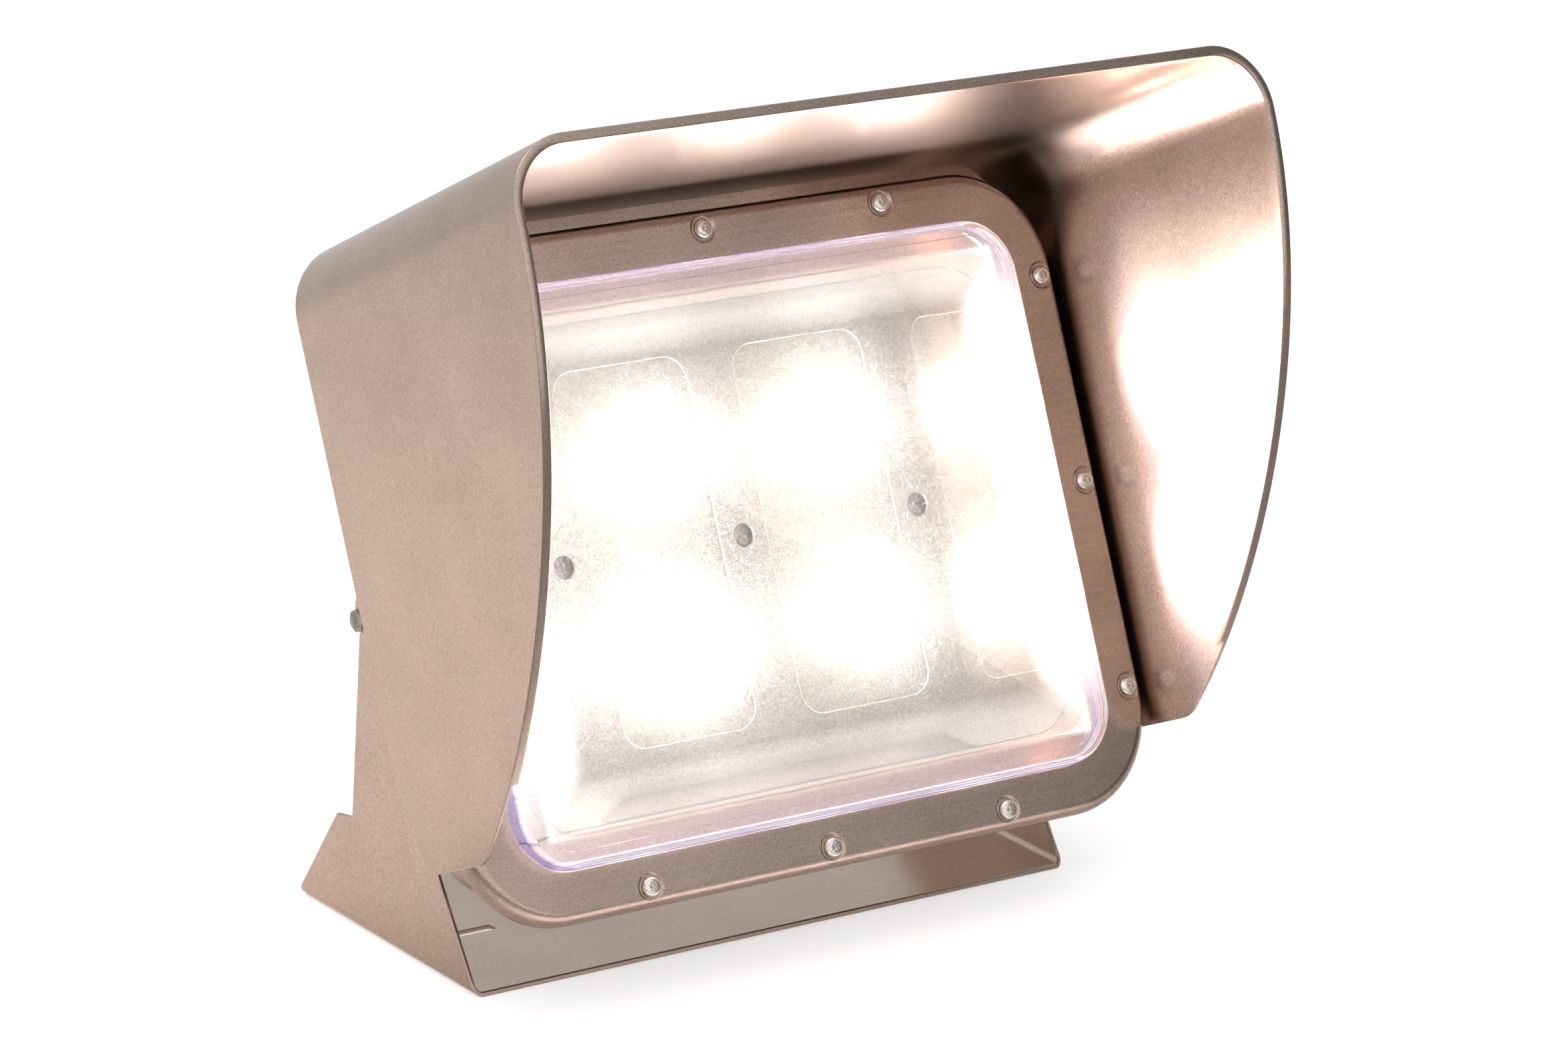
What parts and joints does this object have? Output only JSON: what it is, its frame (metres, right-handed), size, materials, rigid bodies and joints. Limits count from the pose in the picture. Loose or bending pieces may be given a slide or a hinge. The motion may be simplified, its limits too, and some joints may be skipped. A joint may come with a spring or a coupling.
{
  "type": "led wall pack light",
  "caption": "Hooded floodlight head with a clear front lens and rows of LEDs, tilting on two pivots between the arms of a folded sheet wall bracket.",
  "frame": {"origin": "centre of the wall plate's mounting face, on that face", "axes": "-Z out of the mounting face into the wall it is fixed to, +X across the lamp to its right as its front is faced, -Y the way the lamp looks at rest, +Z out from the wall"},
  "size_m": [0.436, 0.2394, 0.4287],
  "materials": {
    "satin_steel": "satin",
    "blasted_steel": "bead-blasted",
    "drawn_steel": "satin, deep drawn",
    "bright_stainless": "polished",
    "zinc_steel": "zinc plated",
    "aluminium_sheet": "mill",
    "clear_polycarbonate": "moulded, clear",
    "black_rubber": "matte",
    "board_metal": "dimpled, anodised",
    "led_phosphor": "clear dome over phosphor",
    "driver_case": "mill",
    "black_nylon": "moulded"
  },
  "bodies": {
    "bracket": {"lock_nut_left": "zinc_steel", "lock_nut_right": "zinc_steel", "mounting_bracket": "satin_steel", "pivot_bolt_left": "zinc_steel", "pivot_bolt_right": "zinc_steel", "pivot_washer_left": "zinc_steel", "pivot_washer_right": "zinc_steel"},
    "head": {"bezel": "satin_steel", "bezel_screw_bottom_1": "bright_stainless", "bezel_screw_bottom_2": "bright_stainless", "bezel_screw_bottom_3": "bright_stainless", "bezel_screw_left_1": "bright_stainless", "bezel_screw_left_2": "bright_stainless", "bezel_screw_left_3": "bright_stainless", "bezel_screw_right_1": "bright_stainless", "bezel_screw_right_2": "bright_stainless", "bezel_screw_right_3": "bright_stainless", "bezel_screw_top_1": "bright_stainless", "bezel_screw_top_2": "bright_stainless", "bezel_screw_top_3": "bright_stainless", "breather_vent": "black_nylon", "cable_gland": "black_nylon", "cover_gasket": "black_rubber", "cover_screw_1": "bright_stainless", "cover_screw_2": "bright_stainless", "cover_screw_3": "bright_stainless", "cover_screw_4": "bright_stainless", "gland_nut": "black_nylon", "heat_spreader": "aluminium_sheet", "hood": "satin_steel", "hood_screw_left_lower": "bright_stainless", "hood_screw_left_upper": "bright_stainless", "hood_screw_right_lower": "bright_stainless", "hood_screw_right_upper": "bright_stainless", "lamp_housing": "drawn_steel", "led_board_1": "board_metal", "led_board_2": "board_metal", "led_board_3": "board_metal", "led_board_4": "board_metal", "led_driver": "driver_case", "led_emitter_1": "led_phosphor", "led_emitter_2": "led_phosphor", "led_emitter_3": "led_phosphor", "led_emitter_4": "led_phosphor", "led_emitter_5": "led_phosphor", "led_emitter_6": "led_phosphor", "led_emitter_7": "led_phosphor", "led_emitter_8": "led_phosphor", "led_plate": "blasted_steel", "lens": "clear_polycarbonate", "lens_gasket": "black_rubber", "pivot_ear_left": "satin_steel", "pivot_ear_right": "satin_steel", "plate_screw_1": "bright_stainless", "plate_screw_2": "bright_stainless", "plate_screw_3": "bright_stainless", "plate_screw_4": "bright_stainless", "rear_cover": "satin_steel", "terminal_block": "black_nylon"}
  },
  "joints": [
    {"name": "head_tilt", "type": "hinge", "parent": "bracket", "child": "head", "pos_m": [0, 0.0282, 0.1545], "axis": [1, 0, 0], "range_deg": [-45, 10]}
  ]
}
